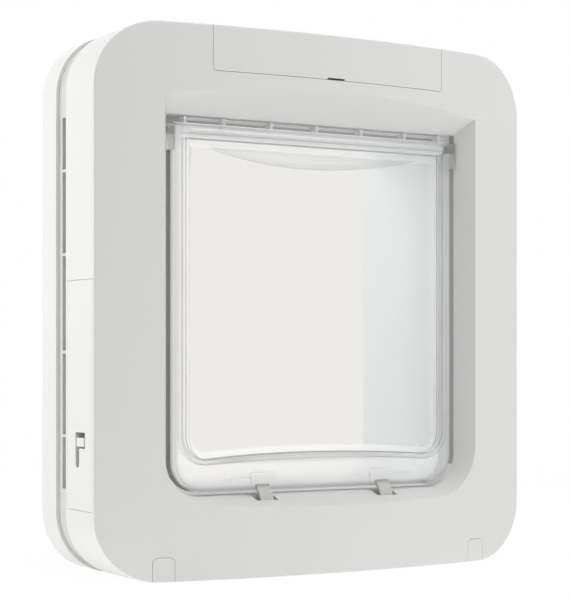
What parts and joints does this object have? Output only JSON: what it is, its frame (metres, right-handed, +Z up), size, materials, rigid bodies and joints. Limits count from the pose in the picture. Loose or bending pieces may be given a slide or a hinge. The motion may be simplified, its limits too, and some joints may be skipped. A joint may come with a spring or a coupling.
{
  "type": "cat flap",
  "caption": "White electronic cat flap: bowed room-side housing with a sloped dish, a clear top-hung flap, rising latches, a battery bay and an outdoor frame with a tunnel.",
  "frame": {"origin": "bottom centre of the bounding box, with the frame upright as it is fixed in a door", "axes": "+Z up the door, +Y from the room outwards through the door, +X to the right seen from the room"},
  "size_m": [0.262, 0.1134, 0.281],
  "materials": {
    "housing_white": "fine satin",
    "chassis_white": "satin",
    "clear_plastic": "clear",
    "latch_plastic": "smooth",
    "seal_foam": "matt",
    "dark_strip": "matt",
    "steel": "zinc plated",
    "contact_metal": "nickel plated",
    "motor_can": "drawn",
    "black_plastic": "matt",
    "copper_wire": "enamelled",
    "board_green": "solder mask",
    "capacitor_sleeve": "sleeved",
    "connector_nylon": "satin",
    "cell_sleeve": "sleeved",
    "lamp_red": "clear"
  },
  "bodies": {
    "frame": {"front_housing": "housing_white", "left_side_cover": "housing_white", "rear_chassis": "chassis_white", "door_seal": "seal_foam", "outdoor_frame": "housing_white", "hinge_pin_left": "steel", "hinge_pin_right": "steel", "draught_strip": "dark_strip", "latch_gearbox": "black_plastic", "latch_motor": "motor_can", "motor_bracket": "chassis_white", "antenna_coil": "copper_wire", "circuit_board": "board_green", "processor_chip": "black_plastic", "board_capacitors": "capacitor_sleeve", "lead_connector": "connector_nylon", "battery_tray": "chassis_white", "battery_1": "cell_sleeve", "battery_2": "cell_sleeve", "battery_3": "cell_sleeve", "battery_4": "cell_sleeve", "battery_springs": "contact_metal", "contact_plates": "contact_metal", "button_switch": "black_plastic", "status_lamp": "lamp_red", "fixing_screws": "steel", "chassis_screws": "steel"},
    "flap": {"flap": "clear_plastic"},
    "latch": {"latch_shaft": "steel", "left_latch": "latch_plastic", "right_latch": "latch_plastic"},
    "lock": {"lock_slider": "latch_plastic"},
    "battery_lid": {"battery_cover": "housing_white"},
    "left_screw_lid": {"screw_cover_left": "housing_white"},
    "right_screw_lid": {"screw_cover_right": "housing_white"},
    "button": {"learn_button": "latch_plastic"}
  },
  "joints": [
    {"name": "flap_swing", "type": "hinge", "parent": "frame", "child": "flap", "pos_m": [0, -0.03275, 0.2285], "axis": [1, 0, 0], "range_deg": [0, 80]},
    {"name": "latch_drop", "type": "hinge", "parent": "frame", "child": "latch", "pos_m": [0, -0.0164, 0.026], "axis": [1, 0, 0], "range_deg": [0, 21]},
    {"name": "lock_slide", "type": "slide", "parent": "frame", "child": "lock", "axis": [0, 0, 1], "range_m": [0, 0.0024]},
    {"name": "battery_cover_open", "type": "hinge", "parent": "frame", "child": "battery_lid", "pos_m": [0, -0.01325, 0.2788], "axis": [-1, 0, 0], "range_deg": [0, 95]},
    {"name": "screw_cover_left_open", "type": "hinge", "parent": "frame", "child": "left_screw_lid", "pos_m": [-0.09587, -0.04661, 0.0022], "axis": [0.9843, -0.1767, 0], "range_deg": [0, 80]},
    {"name": "screw_cover_right_open", "type": "hinge", "parent": "frame", "child": "right_screw_lid", "pos_m": [0.09587, -0.04661, 0.0022], "axis": [0.9843, 0.1767, 0], "range_deg": [0, 80]},
    {"name": "learn_button_press", "type": "slide", "parent": "frame", "child": "button", "axis": [0, 0, -1], "range_m": [0, 0.0006], "stiffness_N_per_m": 1000}
  ]
}
